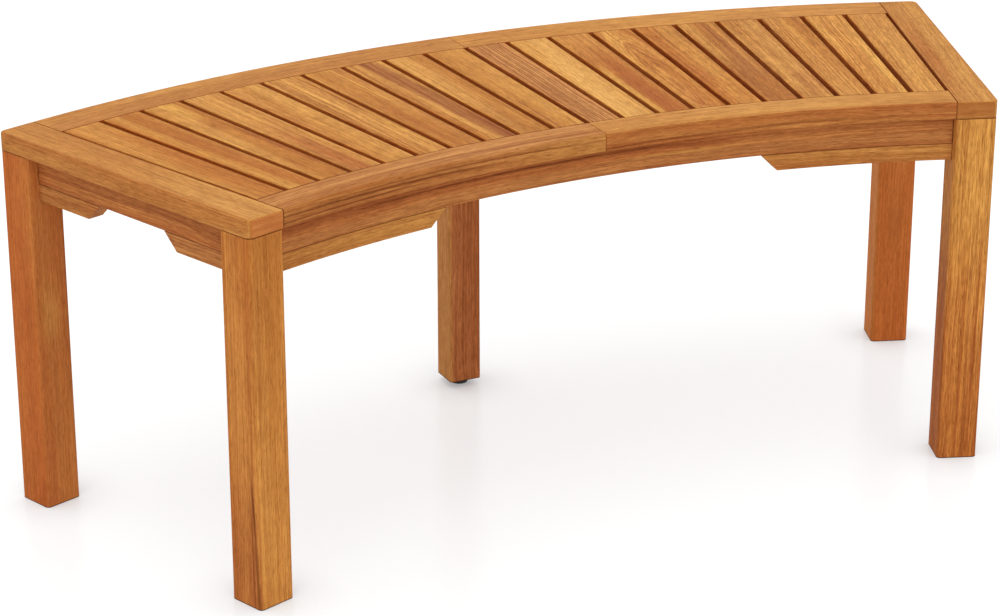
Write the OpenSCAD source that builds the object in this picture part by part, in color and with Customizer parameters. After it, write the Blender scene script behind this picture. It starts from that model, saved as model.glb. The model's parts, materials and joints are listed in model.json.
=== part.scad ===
// Backless garden bench whose slatted seat follows an arc.
// Built around the arc's centre: a bearing is the angle from +Y, positive towards +X.
// The finished bench stands on z = 0 with its footprint centred on the origin.
// +X runs along the bench, +Y points to the convex back edge and +Z is up.

/* [Seat] */
// Height of the seat's top above the floor
seat_h = 450; // [400:1:500]
// Radius of the concave front edge
front_r = 1214; // [1000:1:1500]
// Depth of the seat from the front edge to the back edge
seat_depth = 422; // [380:1:480]
// Angle in degrees between the two end joints
sweep = 40.2; // [36:0.1:44]
// Thickness of the rails, end boards and slats
board_t = 21; // [18:0.5:26]
// Width of the curved front rail
front_rail_w = 44; // [40:0.5:60]
// Width of the curved back rail
back_rail_w = 53; // [46:0.5:64]
// Radius of the seat's outer corners seen from above
corner_r = 9; // [6:0.5:20]
// Rounding of the seat's outer top edge
top_edge_r = 2; // [1.5:0.5:6]
// Rounding of the seat's outer bottom edge
bottom_edge_r = 1.5; // [1:0.5:3]
// Width and depth of the eased edge at each butt joint
joint_ease = 0.6; // [0.3:0.1:0.9]

/* [Slats] */
// Number of slats
slat_count = 20; // [14:2:24]
// Open gap between two slats
slat_gap = 6.6; // [4:0.2:10]
// Rounding of a slat's long top edges
slat_edge_r = 1.5; // [0.5:0.1:2.5]
// How much of a slat's end rests on its ledger
slat_rest = 18; // [15:0.5:25]

/* [Aprons and ledgers] */
// Height of the aprons under the seat
apron_h = 33; // [30:1:45]
// Thickness of the aprons and braces
apron_t = 20; // [18:0.5:24]
// How far the curved aprons stand back from the seat's edge
apron_setback = 12; // [9:0.5:16]
// How far the end aprons stand back from the legs' outer faces
end_apron_setback = 14.5; // [9:0.5:18]
// Height of the ledgers that carry the slats
ledger_h = 18; // [14:0.5:20]
// Thickness of the stretcher under the middle of the seat
stretcher_t = 20; // [16:0.5:26]

/* [Legs] */
// Side of a square corner leg
leg_w = 48; // [46:0.5:60]
// How far the end boards overhang the legs' outer faces
side_overhang = 0.8; // [0:0.1:3]
// How far the seat overhangs the front legs
front_overhang = 0.2; // [0:0.1:3]
// How far the seat overhangs the back legs
back_overhang = 2; // [0:0.1:4]
// Rounding of the legs' long edges
leg_edge_r = 5; // [1:0.5:6]
// Side of the square middle leg
mid_leg_w = 42.5; // [38:0.5:46]
// How far the middle leg stands back from the back edge
mid_leg_inset = 7.5; // [3:0.5:9]
// Height of the middle leg's end above the floor
mid_leg_lift = 9; // [8.5:0.5:16]

/* [Braces] */
// Height of the braces under the aprons
brace_h = 20; // [16:0.5:28]
// Length of a curved brace along its top
long_brace_l = 230; // [180:1:280]
// Length of a straight brace along its top
short_brace_l = 107; // [95:1:130]
// Slope in degrees of a brace's free end
brace_slope = 45; // [38:1:60]

/* [Fasteners] */
// Diameter of the wooden dowels
dowel_d = 8; // [6:0.5:9]
// Length of the wooden dowels
dowel_l = 40; // [30:1:40]
// Distance of a rail's dowels from its two edges
dowel_inset = 11; // [8:0.5:13]
// How far a dowel beside the middle leg reaches into it
mid_dowel_bite = 16; // [12:0.5:17]
// Wood left in front of the dowel that meets the front apron
dowel_skin = 6; // [4:0.5:10]
// Diameter of the leg bolts
bolt_d = 6; // [5:0.5:7]
// How far the leg bolts reach into the aprons
bolt_bite = 17; // [12:1:22]
// Diameter of the bolt head
bolt_head_d = 10; // [9:0.5:12]
// Height of the bolt head
bolt_head_h = 6; // [4:0.5:7]
// Width across the flats of the bolt's socket
bolt_key = 5; // [3:0.5:6]
// Depth of the bolt's socket
bolt_key_depth = 3.6; // [2:0.1:3.6]
// How deep the bolt heads lie inside the braces
bolt_sink = 1; // [0:0.2:2]
// Diameter of the washer under the bolt head
washer_d = 14; // [12:0.5:16]
// Thickness of the washer
washer_t = 1.6; // [1:0.1:2.5]
// Extra diameter of the bolt's hole in the brace and washer
bolt_play = 0.6; // [0.2:0.1:1.2]
// Distance of the nearer bolt from the leg
bolt_at = 48; // [35:1:56]
// Distance between the two bolts of a curved brace
bolt_pitch = 100; // [60:1:110]
// Outer diameter of the threaded inserts in the aprons
insert_d = 10; // [9:0.5:13]
// Length of the threaded inserts in the aprons
insert_l = 16; // [12:0.5:20]
// Diameter of the wood screws
screw_d = 4; // [3:0.5:5]
// Diameter of the wood screws' countersunk heads
screw_head_d = 8; // [7:0.5:9]
// How far the slat and ledger screws bite into the wood beyond the ledger
screw_bite = 14; // [10:0.5:15]
// How far the apron screws bite into the rails and end boards
rail_screw_bite = 12; // [9:0.5:14]
// Screws along each half of a curved apron
rail_screws_per_half = 3; // [1:1:4]
// Screws along each end apron
end_screws = 2; // [2:1:4]
// Screws along each half of a ledger
ledger_screws_per_half = 3; // [1:1:4]

/* [Levelling foot] */
// Diameter of the foot's pad
pad_d = 22; // [18:0.5:30]
// Height of the pad
pad_h = 5; // [4.5:0.5:6]
// Rounding of the pad's bottom edge
pad_edge_r = 1.5; // [0.5:0.1:2]
// Diameter of the threaded stem
stem_d = 8; // [6:0.5:10]
// Length of stem inside the leg at rest
stem_engaged = 26; // [22:1:34]
// Width across the flats of the stem's hexagon
hex_w = 13; // [12:0.5:16]
// Height of the hexagon
hex_h = 2.6; // [2:0.1:3.2]
// Outer diameter of the leg's threaded insert
foot_insert_d = 12; // [11.5:0.5:15]
// Length of the leg's threaded insert
foot_insert_l = 20; // [15:1:21]
// Radial clearance between the stem and what it turns in
stem_play = 0.05; // [0.02:0.01:0.1]
// Clearance above and below the parts that turn
axial_play = 0.2; // [0.1:0.05:0.3]

/* [Hidden] */
$fn = 48;
// Facets of a full circle for the bench's own large arcs
arc_fn = 720;
// Overlap that makes a cut pass fully through a face
over = 1;

half = sweep / 2;
back_r = front_r + seat_depth;
under_z = seat_h - board_t;
apron_z = under_z - apron_h;
brace_z = apron_z - brace_h;
ledger_z = under_z - ledger_h;

// The end joint's own frame has x along the bench's outward side and y along the radius.
end_board_w = leg_w + side_overhang;
front_leg_y = front_r + front_overhang;
back_leg_y = back_r - back_overhang - leg_w;
end_apron_x = leg_w - end_apron_setback - apron_t;
end_apron_mid = end_apron_x + apron_t / 2;

// Radii of the curved parts, each as inner and outer face.
front_apron_r = [front_r + apron_setback, front_r + apron_setback + apron_t];
back_apron_r = [back_r - apron_setback - apron_t, back_r - apron_setback];
front_rail_r = [front_r, front_r + front_rail_w];
back_rail_r = [back_r - back_rail_w, back_r];
slat_r = [front_rail_r[1], back_rail_r[0]];
front_ledger_r = [front_apron_r[1], slat_r[0] + slat_rest];
back_ledger_r = [slat_r[1] - slat_rest, back_apron_r[0]];
mid_leg_y = back_r - mid_leg_inset - mid_leg_w;
foot_y = mid_leg_y + mid_leg_w / 2;

// Slats share the sweep equally, and each keeps half a gap on both sides.
pitch = sweep / slat_count;

// The footprint starts at the seat's front corner or at the leg's, whichever stands further out.
front_y = min(foremost_y(end_board_w, front_r, corner_r), foremost_y(leg_w, front_leg_y, leg_edge_r));
centre_y = (front_y + back_r) / 2;

// Where the screws stand
slat_screw_r = [slat_r[0] + slat_rest / 2, slat_r[1] - slat_rest / 2];
screw_head_h = (screw_head_d - screw_d) / 2;
screw_l = ledger_h + screw_bite;
rail_screw_l = apron_h + rail_screw_bite;
ledger_screw_z = ledger_z + ledger_h / 2;

// Depth of the recess for the bolt's head and washer, and the bolt's length under its head
bolt_recess = bolt_sink + bolt_head_h + washer_t;
bolt_l = washer_t + brace_h - bolt_recess + bolt_bite;

// Heights of the dowels in the rails, and of those at the middle leg's sides and the stretcher's ends
rail_dowel_z = under_z + board_t / 2;
mid_dowel_z = (ledger_z + under_z) / 2;
stretcher_dowel_z = (apron_z + ledger_z) / 2;

// Spare depth beyond the end of a bolt or stem, and extra width around a sunk head or the stem
end_room = 1;
side_room = 1;

// Heights of the levelling foot's parts
stem_foot_z = pad_h / 3;
hex_z = pad_h + axial_play;
stem_top_z = mid_leg_lift + stem_engaged;
// How far the foot can be screwed in from rest, until the hexagon meets the leg
foot_in = mid_leg_lift - hex_z - hex_h - axial_play;

sides = [-1, 1];
side_names = ["left", "right"];

function mid(range) = (range[0] + range[1]) / 2;
// Foremost y of an outer front corner, given its place in the end joint's frame and its rounding
function foremost_y(x, y, r) = (y + r) * cos(half) - (x - r) * sin(half) - r;
function arc_angle(length, r) = length / r * 180 / PI;
function slat_name(i) = str("slat_", i < 9 ? "0" : "", i + 1);
function slat_bearing(i) = (i + 0.5) * pitch - half;
// Evenly spaced places along a stretch, each in the middle of its share
function spread(from, to, count) = [for (i = [0:count - 1]) from + (to - from) * (i + 0.5) / count];

// Places for the two dowels across a rail's end
function rail_dowel_r(range) = [range[0] + dowel_inset, range[1] - dowel_inset];

// Bearing of a curved brace's free end
function brace_tip(r) = half - arc_angle(long_brace_l, r);
// Apron screws stand in line with slats, between the middle leg and the brace
function rail_screw_bearings(r) =
    [for (b = spread(arc_angle(mid_leg_w, r), brace_tip(r), rail_screws_per_half))
        pitch * (round(b / pitch - 0.5) + 0.5)];
// Ledger screws stand in line with the gaps, clear of the slat and apron screws
function ledger_screw_bearings() =
    [for (k = [1:ledger_screws_per_half])
        pitch * round(k * slat_count / 2 / (ledger_screws_per_half + 1))];

// Places the arc's centre so that the footprint is centred on the origin
module placed() {
    translate([0, -centre_y, 0]) children();
}

// Turns what is built along +Y to a bearing
module at(bearing) {
    rotate([0, 0, -bearing]) children();
}

// Draws a right-hand part as it is, or mirrored for the left end
module on_side(side) {
    if (side > 0) children();
    else mirror([1, 0, 0]) children();
}

// Sweeps a section, drawn as radius and height, between two bearings
module swept(from, to) {
    rotate([0, 0, 90 - to]) rotate_extrude(angle = to - from, $fn = arc_fn) children();
}

// Runs a section, drawn as x and z, along y between two places
module run(from, to) {
    translate([0, to, 0]) rotate([90, 0, 0]) linear_extrude(to - from) children();
}

// What a rounded corner takes away, with the corner at the origin and the wood behind it
module corner_waste(r) {
    difference() {
        translate([-r, -r]) square(r + over);
        translate([-r, -r]) circle(r);
    }
}

// Rectangle with a radius of its own at each corner
module eased_rect(w, h, top_left = 0, top_right = 0, bottom_right = 0, bottom_left = 0) {
    difference() {
        square([w, h]);
        if (top_right > 0) translate([w, h]) corner_waste(top_right);
        if (top_left > 0) translate([0, h]) mirror([1, 0]) corner_waste(top_left);
        if (bottom_right > 0) translate([w, 0]) mirror([0, 1]) corner_waste(bottom_right);
        if (bottom_left > 0) rotate(180) corner_waste(bottom_left);
    }
}

// Section of the front rail, or of its core when drawn in by the joint ease
module front_rail_section(in = 0) {
    translate([front_rail_r[0] + in, under_z + in])
        eased_rect(front_rail_w - 2 * in, board_t - 2 * in,
            top_left = top_edge_r - in, top_right = in > 0 ? 0 : joint_ease,
            bottom_left = bottom_edge_r - in);
}

module back_rail_section(in = 0) {
    translate([back_rail_r[0] + in, under_z + in])
        eased_rect(back_rail_w - 2 * in, board_t - 2 * in,
            top_right = top_edge_r - in, top_left = in > 0 ? 0 : joint_ease,
            bottom_right = bottom_edge_r - in);
}

// One half of a rail, whose edges are eased where it meets the end board and the other half
module rail_half(r) {
    back_off = arc_angle(joint_ease, r);
    swept(back_off, half - back_off) children(0);
    swept(0, half) children(1);
}

module front_rail_blank() {
    rail_half(front_r) {
        front_rail_section();
        front_rail_section(joint_ease);
    }
}

module back_rail_blank() {
    rail_half(back_r) {
        back_rail_section();
        back_rail_section(joint_ease);
    }
}

module front_rail(side) {
    color("#c68748") placed() on_side(side) difference() {
        front_rail_blank();
        seam_dowels(front_rail_r);
        joint_dowels(front_rail_r);
        half_rail_screws(front_apron_r);
    }
}

module back_rail(side) {
    color("#cc8f4e") placed() on_side(side) difference() {
        back_rail_blank();
        seam_dowels(back_rail_r);
        joint_dowels(back_rail_r);
        half_rail_screws(back_apron_r);
    }
}

// Board across the bench's end: its section is swept round three sides and the two corners
module end_board_blank() {
    w = end_board_w - joint_ease;
    band = corner_r;
    translate([joint_ease, front_r, under_z]) {
        translate([0, band, 0]) cube([w - band, seat_depth - 2 * band, board_t]);
        for (far = [0, 1]) translate([0, far * seat_depth, 0]) mirror([0, far, 0]) {
            translate([w - band, band, 0]) rotate([0, 0, -90])
                rotate_extrude(angle = 90) edge_band(band);
            translate([0, band, 0]) rotate([0, 0, -90]) run(0, w - band) edge_band(band);
        }
        translate([w - band, 0, 0]) run(band, seat_depth - band) edge_band(band);
    }
    // Core that reaches the joint, drawn in by the eased edge
    translate([0, front_r + joint_ease, under_z + joint_ease]) rotate([90, 0, 90])
        linear_extrude(corner_r)
            eased_rect(seat_depth - 2 * joint_ease, board_t - 2 * joint_ease,
                top_edge_r - joint_ease, top_edge_r - joint_ease,
                bottom_edge_r - joint_ease, bottom_edge_r - joint_ease);
}

// Outer band of the end board's section, eased on its outer side
module edge_band(w) {
    eased_rect(w, board_t, top_right = top_edge_r, bottom_right = bottom_edge_r);
}

module end_board(side) {
    color("#c98b4b") placed() on_side(side) difference() {
        at(half) end_board_blank();
        joint_dowels(front_rail_r);
        joint_dowels(back_rail_r);
        end_apron_screws();
    }
}

// Section of an apron, with all four long edges eased
module apron_section() {
    eased_rect(apron_t, apron_h, joint_ease, joint_ease, joint_ease, joint_ease);
}

// Section of a brace, eased below and square where it lies against the apron's eased edges
module brace_section() {
    eased_rect(apron_t, brace_h, bottom_right = joint_ease, bottom_left = joint_ease);
}

// Slat that tapers towards the front so that the gaps stay parallel
module slat(i) {
    bearing = slat_bearing(i);
    color(["#d9a05a", "#cf9250", "#d59a52"][i % 3]) placed() difference() {
        intersection() {
            swept(bearing - pitch / 2, bearing + pitch / 2)
                translate([slat_r[0], under_z])
                    eased_rect(slat_r[1] - slat_r[0], board_t,
                        top_left = joint_ease, top_right = joint_ease);
            for_both_edges(bearing) slat_side();
        }
        slat_screws_at(bearing);
    }
}

// Intersects a slat's two long edges, each parallel to its own boundary bearing
module for_both_edges(bearing) {
    intersection() {
        at(bearing + pitch / 2) children();
        at(bearing - pitch / 2) mirror([1, 0, 0]) children();
    }
}

// Everything on the slat's side of one boundary, with the long top edge rounded
module slat_side() {
    reach = back_r * sin(pitch) + over;
    translate([-slat_gap / 2 - reach, 0, under_z]) run(slat_r[0] - over, slat_r[1] + over)
        eased_rect(reach, board_t, top_right = slat_edge_r);
}

module front_apron() {
    color("#b9743a") placed() difference() {
        swept(-half, half) translate([front_apron_r[0], apron_z]) apron_section();
        both_sides() {
            half_rail_screws(front_apron_r);
            half_ledger_screws(front_ledger_r, 1);
            curved_brace_inserts(front_apron_r);
        }
        centre_ledger_screw(front_ledger_r, 1);
        stretcher_front_dowel();
    }
}

module back_apron(side) {
    color("#b9743a") placed() on_side(side) difference() {
        swept(0, half) translate([back_apron_r[0], apron_z]) apron_section();
        mid_leg_space();
        half_rail_screws(back_apron_r);
        half_ledger_screws(back_ledger_r, -1);
        curved_brace_inserts(back_apron_r);
        mid_leg_dowel();
    }
}

// Room that the middle leg takes from what meets its sides
module mid_leg_space() {
    translate([-mid_leg_w / 2, mid_leg_y, 0])
        cube([mid_leg_w, mid_leg_w + mid_leg_inset, seat_h]);
}

module end_apron(side) {
    color("#b26d36") placed() on_side(side) difference() {
        at(half) translate([end_apron_x, 0, apron_z])
            run(front_leg_y + leg_w, back_leg_y) apron_section();
        end_apron_screws();
        straight_brace_inserts();
    }
}

module front_ledger() {
    color("#a8683a") placed() difference() {
        ledger_blank(front_ledger_r);
        for (i = [0:slat_count - 1]) slat_screws_at(slat_bearing(i));
        both_sides() half_ledger_screws(front_ledger_r, 1);
        centre_ledger_screw(front_ledger_r, 1);
    }
}

module back_ledger() {
    color("#a8683a") placed() difference() {
        ledger_blank(back_ledger_r);
        mid_leg_space();
        for (i = [0:slat_count - 1]) slat_screws_at(slat_bearing(i));
        both_sides() half_ledger_screws(back_ledger_r, -1);
        centre_ledger_screw(back_ledger_r, -1);
    }
}

module ledger_blank(range) {
    swept(-half, half) translate([range[0], ledger_z]) square([range[1] - range[0], ledger_h]);
}

// Stretcher from the front apron to the middle leg, lapped under both ledgers
module centre_stretcher() {
    color("#a8683a") placed() difference() {
        translate([-stretcher_t / 2, front_apron_r[1] - stretcher_sag(), apron_z])
            cube([stretcher_t, mid_leg_y - front_apron_r[1] + stretcher_sag(), apron_h]);
        front_apron_bore();
        for (range = [front_ledger_r, back_ledger_r]) ledger_blank(range);
        stretcher_front_dowel();
        stretcher_back_dowel();
    }
}

// How far a flat end must reach to fill the hollow of the front apron's curved face
function stretcher_sag() = front_apron_r[1] - sqrt(pow(front_apron_r[1], 2) - pow(stretcher_t / 2, 2));

// Everything inside the radius of the front apron's back face
module front_apron_bore() {
    translate([0, 0, apron_z - over]) cylinder(r = front_apron_r[1], h = apron_h + 2 * over, $fn = arc_fn);
}

module corner_leg(side, y) {
    color("#c07a3e") placed() on_side(side) difference() {
        at(half) translate([0, y, 0]) linear_extrude(under_z)
            eased_rect(leg_w, leg_w, leg_edge_r, leg_edge_r, leg_edge_r, leg_edge_r);
        brace_dowels();
    }
}

module middle_leg() {
    color("#ad683a") placed() difference() {
        translate([-mid_leg_w / 2, mid_leg_y, mid_leg_lift]) linear_extrude(under_z - mid_leg_lift)
            eased_rect(mid_leg_w, mid_leg_w, leg_edge_r, leg_edge_r, leg_edge_r, leg_edge_r);
        both_sides() mid_leg_dowel();
        stretcher_back_dowel();
        centre_ledger_screw(back_ledger_r, -1);
        translate([0, foot_y, mid_leg_lift - over]) {
            cylinder(d = foot_insert_d, h = foot_insert_l + over);
            cylinder(d = stem_d + side_room, h = over + stem_engaged + foot_in + end_room);
        }
    }
}

// Brace under a curved apron, from the leg to a sloping free end.
// It is run past its tip, so that the slope cuts it cleanly.
module curved_brace(side, range) {
    tip = brace_tip(range[0]);
    color("#c17d42") placed() on_side(side) difference() {
        swept(tip - arc_angle(over, range[0]), half) translate([range[0], brace_z]) brace_section();
        at(tip) translate([0, mid(range), apron_z]) sloping_end();
        curved_brace_bolt_holes(range);
        brace_dowels();
    }
}

// Brace under an end apron, which leaves its leg forwards or backwards
module straight_brace(side, from_front) {
    start = from_front ? front_leg_y + leg_w : back_leg_y;
    color("#c17d42") placed() on_side(side) difference() {
        at(half) translate([end_apron_x, start, brace_z]) mirror([0, from_front ? 0 : 1, 0])
            difference() {
                run(0, short_brace_l + over) brace_section();
                translate([apron_t / 2, short_brace_l, brace_h]) rotate([0, 0, -90]) sloping_end();
            }
        straight_brace_bolt_holes();
        brace_dowels();
    }
}

// Wedge that slopes a brace's end, with its top tip at the origin and the brace along +X
module sloping_end() {
    drop = brace_h + over;
    lean = 1 / tan(brace_slope);
    rotate([90, 0, 0]) linear_extrude(apron_t * 2, center = true)
        polygon([[-over * lean, over], [drop * lean, -drop], [-over * 2, -drop], [-over * 2, over]]);
}

module both_sides() {
    for (side = sides) on_side(side) children();
}

// Plain dowel along +Z, centred on the origin
module dowel() {
    cylinder(d = dowel_d, h = dowel_l, center = true);
}

// Dowels of the butt joint between a rail and the end board, on the right-hand side
module joint_dowels(range) {
    at(half) for (r = rail_dowel_r(range)) translate([0, r, rail_dowel_z]) rotate([0, 90, 0]) dowel();
}

// Dowels of the seam between the two halves of a rail
module seam_dowels(range) {
    for (r = rail_dowel_r(range)) translate([0, r, rail_dowel_z]) rotate([0, 90, 0]) dowel();
}

// Dowels that pin the four braces of one end to their legs
module brace_dowels() {
    z = brace_z + brace_h / 2;
    at(half) {
        for (r = [mid(front_apron_r), mid(back_apron_r)])
            translate([0, r, z]) rotate([0, 90, 0]) dowel();
        for (y = [front_leg_y + leg_w, back_leg_y])
            translate([end_apron_mid, y, z]) rotate([90, 0, 0]) dowel();
    }
}

// Dowel between the middle leg and one half of the back apron
module mid_leg_dowel() {
    translate([mid_leg_w / 2 - mid_dowel_bite + dowel_l / 2, mid(back_apron_r), mid_dowel_z])
        rotate([0, 90, 0]) dowel();
}

// The front dowel stops short of the apron's show face
module stretcher_front_dowel() {
    translate([0, front_apron_r[0] + dowel_skin + dowel_l / 2, stretcher_dowel_z])
        rotate([90, 0, 0]) dowel();
}

module stretcher_back_dowel() {
    translate([0, mid_leg_y, stretcher_dowel_z]) rotate([90, 0, 0]) dowel();
}

module dowels() {
    color("#d8b27c") placed() {
        both_sides() {
            joint_dowels(front_rail_r);
            joint_dowels(back_rail_r);
            brace_dowels();
            mid_leg_dowel();
        }
        seam_dowels(front_rail_r);
        seam_dowels(back_rail_r);
        stretcher_front_dowel();
        stretcher_back_dowel();
    }
}

// Countersunk screw along +Z with its head's face on z = 0
module screw(length) {
    rotate_extrude() polygon([
        [0, 0], [screw_head_d / 2, 0], [screw_d / 2, screw_head_h],
        [screw_d / 2, length - screw_d], [0, length]
    ]);
}

// The two screws of the slat at a bearing, driven up through the ledgers
module slat_screws_at(bearing) {
    at(bearing) for (r = slat_screw_r) translate([0, r, ledger_z]) screw(screw_l);
}

module slat_screws() {
    color("silver") placed() for (i = [0:slat_count - 1]) slat_screws_at(slat_bearing(i));
}

// Screws up through one half of a curved apron into its rail
module half_rail_screws(range) {
    for (b = rail_screw_bearings(range[0]))
        at(b) translate([0, mid(range), apron_z]) screw(rail_screw_l);
}

// Screws up through an end apron into the end board
module end_apron_screws() {
    at(half)
        for (y = spread(front_leg_y + leg_w + short_brace_l, back_leg_y - short_brace_l, end_screws))
            translate([end_apron_mid, y, apron_z]) screw(rail_screw_l);
}

module rail_screws() {
    color("silver") placed() both_sides() {
        half_rail_screws(front_apron_r);
        half_rail_screws(back_apron_r);
        end_apron_screws();
    }
}

// One ledger screw, sunk so that it bites the same depth whatever the ledger's width.
// Way is 1 where the apron lies in front of the ledger and -1 where it lies behind.
module ledger_screw(range, way, sunk) {
    face = way > 0 ? range[0] : range[1];
    head = face + way * (screw_l - screw_bite);
    free_face = way > 0 ? range[1] : range[0];
    translate([0, head, ledger_screw_z]) rotate([way * 90, 0, 0]) screw(screw_l);
    if (sunk && way * (free_face - head) > 0)
        translate([0, head, ledger_screw_z]) rotate([-way * 90, 0, 0])
            cylinder(d = screw_head_d + side_room, h = way * (free_face - head) + over);
}

module half_ledger_screws(range, way, sunk = true) {
    for (b = ledger_screw_bearings()) at(b) ledger_screw(range, way, sunk);
}

// The middle screw of a ledger, which at the back bites into the middle leg
module centre_ledger_screw(range, way, sunk = true) {
    meets = way > 0 ? range : [range[0], mid_leg_y];
    ledger_screw(meets, way, sunk);
}

module ledger_screws() {
    color("silver") placed() {
        both_sides() {
            half_ledger_screws(front_ledger_r, 1, false);
            half_ledger_screws(back_ledger_r, -1, false);
        }
        centre_ledger_screw(front_ledger_r, 1, false);
        centre_ledger_screw(back_ledger_r, -1, false);
    }
}

// Bearings of the two bolts of a curved brace
function bolt_bearings(range) =
    [for (k = [0, 1]) half - arc_angle(bolt_at + k * bolt_pitch, mid(range))];

// Puts a child at each bolt of one end, at the height of the braces' underside
module at_curved_bolts(range) {
    for (b = bolt_bearings(range)) at(b) translate([0, mid(range), brace_z]) children();
}

module at_straight_bolts() {
    at(half) for (y = [front_leg_y + leg_w + bolt_at, back_leg_y - bolt_at])
        translate([end_apron_mid, y, brace_z]) children();
}

module at_all_bolts() {
    both_sides() {
        at_curved_bolts(front_apron_r) children();
        at_curved_bolts(back_apron_r) children();
        at_straight_bolts() children();
    }
}

// Hole through a brace, with a recess that hides the bolt's head and washer
module bolt_hole() {
    translate([0, 0, -over]) {
        cylinder(d = bolt_d + bolt_play, h = brace_h + 2 * over);
        cylinder(d = washer_d + bolt_play, h = bolt_recess + over);
    }
}

module curved_brace_bolt_holes(range) {
    at_curved_bolts(range) bolt_hole();
}

module straight_brace_bolt_holes() {
    at_straight_bolts() bolt_hole();
}

// Hole for a threaded insert in an apron's lower edge, deep enough for the bolt's end
module insert_hole() {
    translate([0, 0, brace_h - over]) {
        cylinder(d = insert_d, h = insert_l + over);
        cylinder(d = bolt_d, h = over + max(insert_l, bolt_bite) + end_room);
    }
}

module curved_brace_inserts(range) {
    at_curved_bolts(range) insert_hole();
}

module straight_brace_inserts() {
    at_straight_bolts() insert_hole();
}

// Socket-head bolt, whose head bears on the washer inside the brace
module leg_bolts() {
    color("dimgray") placed() at_all_bolts() translate([0, 0, bolt_recess - washer_t]) difference() {
        union() {
            cylinder(d = bolt_d, h = bolt_l);
            translate([0, 0, -bolt_head_h]) cylinder(d = bolt_head_d, h = bolt_head_h);
        }
        translate([0, 0, -bolt_head_h - over])
            cylinder(d = bolt_key / cos(30), h = over + bolt_key_depth, $fn = 6);
    }
}

module leg_bolt_washers() {
    color("silver") placed() at_all_bolts() translate([0, 0, bolt_recess - washer_t]) difference() {
        cylinder(d = washer_d, h = washer_t);
        translate([0, 0, -over]) cylinder(d = bolt_d + bolt_play, h = washer_t + 2 * over);
    }
}

module apron_inserts() {
    color("goldenrod") placed() at_all_bolts() translate([0, 0, brace_h]) difference() {
        cylinder(d = insert_d, h = insert_l);
        translate([0, 0, -over]) cylinder(d = bolt_d, h = insert_l + 2 * over);
    }
}

// Threaded insert in the end of the middle leg
module foot_insert() {
    color("goldenrod") placed() translate([0, foot_y, mid_leg_lift]) difference() {
        cylinder(d = foot_insert_d, h = foot_insert_l);
        translate([0, 0, -over]) cylinder(r = stem_d / 2 + stem_play, h = foot_insert_l + 2 * over);
    }
}

// Stem that turns in the insert, with a hexagon for a spanner and a spigot in the pad
module foot_stem() {
    color("dimgray") placed() translate([0, foot_y, 0]) {
        translate([0, 0, stem_foot_z + axial_play])
            cylinder(d = stem_d, h = stem_top_z - stem_foot_z - axial_play);
        translate([0, 0, hex_z]) cylinder(d = hex_w / cos(30), h = hex_h, $fn = 6);
    }
}

// Round pad with a socket that the stem's spigot turns in
module foot_pad() {
    color("#1c1c1c") placed() translate([0, foot_y, 0]) rotate_extrude() difference() {
        eased_rect(pad_d / 2, pad_h, top_right = pad_edge_r / 2, bottom_right = pad_edge_r);
        translate([-over, stem_foot_z]) square([stem_d / 2 + stem_play + over, pad_h]);
    }
}

for (s = [0, 1]) {
    end_board(sides[s]);
    front_rail(sides[s]);
    back_rail(sides[s]);
    back_apron(sides[s]);
    end_apron(sides[s]);
    corner_leg(sides[s], front_leg_y);
    corner_leg(sides[s], back_leg_y);
    curved_brace(sides[s], front_apron_r);
    curved_brace(sides[s], back_apron_r);
    straight_brace(sides[s], true);
    straight_brace(sides[s], false);
}
for (i = [0:slat_count - 1]) {
    slat(i);
}
front_apron();
front_ledger();
back_ledger();
centre_stretcher();
middle_leg();
dowels();
leg_bolts();
leg_bolt_washers();
apron_inserts();
rail_screws();
slat_screws();
ledger_screws();
foot_insert();
foot_stem();
foot_pad();
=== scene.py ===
"""Looks of the curved outdoor bench: oiled hardwood, board by board, on a pale studio floor.

Every node keeps its solid from the frame, and every wooden one gets a material of its own. The
grain is a solid texture, laid along each board in the board's own directions, so it runs on over
every face and shows end grain where a board is cut across. Only the end boards' ends show none,
as in the photograph.
"""
import json
import math

import bpy
from mathutils import Matrix, Vector

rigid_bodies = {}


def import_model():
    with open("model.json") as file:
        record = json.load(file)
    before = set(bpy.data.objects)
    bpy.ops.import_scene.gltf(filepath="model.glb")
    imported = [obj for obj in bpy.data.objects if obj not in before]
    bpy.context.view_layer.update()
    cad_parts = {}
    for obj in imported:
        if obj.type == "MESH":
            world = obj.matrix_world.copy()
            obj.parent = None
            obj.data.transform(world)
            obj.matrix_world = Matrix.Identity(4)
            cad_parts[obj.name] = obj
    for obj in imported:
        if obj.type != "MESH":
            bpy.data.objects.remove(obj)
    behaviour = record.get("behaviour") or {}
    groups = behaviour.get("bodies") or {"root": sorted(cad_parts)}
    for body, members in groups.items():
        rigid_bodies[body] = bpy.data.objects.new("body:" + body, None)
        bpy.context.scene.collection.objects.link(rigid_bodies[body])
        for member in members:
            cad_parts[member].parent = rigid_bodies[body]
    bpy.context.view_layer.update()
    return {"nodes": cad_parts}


for thing in list(bpy.data.objects):
    bpy.data.objects.remove(thing, do_unlink=True)

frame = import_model()
nodes = frame["nodes"]

MM = 0.001


def middle(a, b):
    return (a + b) / 2


# The bench's own sizes, in metres. Radii, and places along a radius, start at the arc's centre,
# which lies this far in front of the origin.
CENTRE_Y = 1.380583
FRONT_R = 1.214
BACK_R = 1.636
SLAT_R = (1.258, 1.583)
FRONT_APRON_R = (1.226, 1.246)
BACK_APRON_R = (1.604, 1.624)
FRONT_LEDGER_R = 1.261
BACK_LEDGER_R = 1.5845
# Half the arc's angle, and the angle from one slat to the next
HALF = math.radians(20.1)
SLATS = 20
PITCH = 2 * HALF / SLATS
# The seat's top, and the undersides of its boards, of the aprons and of the braces
SEAT_H = 0.450
UNDER_Z = 0.429
APRON_Z = 0.396
BRACE_Z = 0.376
END_W = 0.0488
END_APRON_X = 0.0135
MEMBER_T = 0.020
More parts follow.
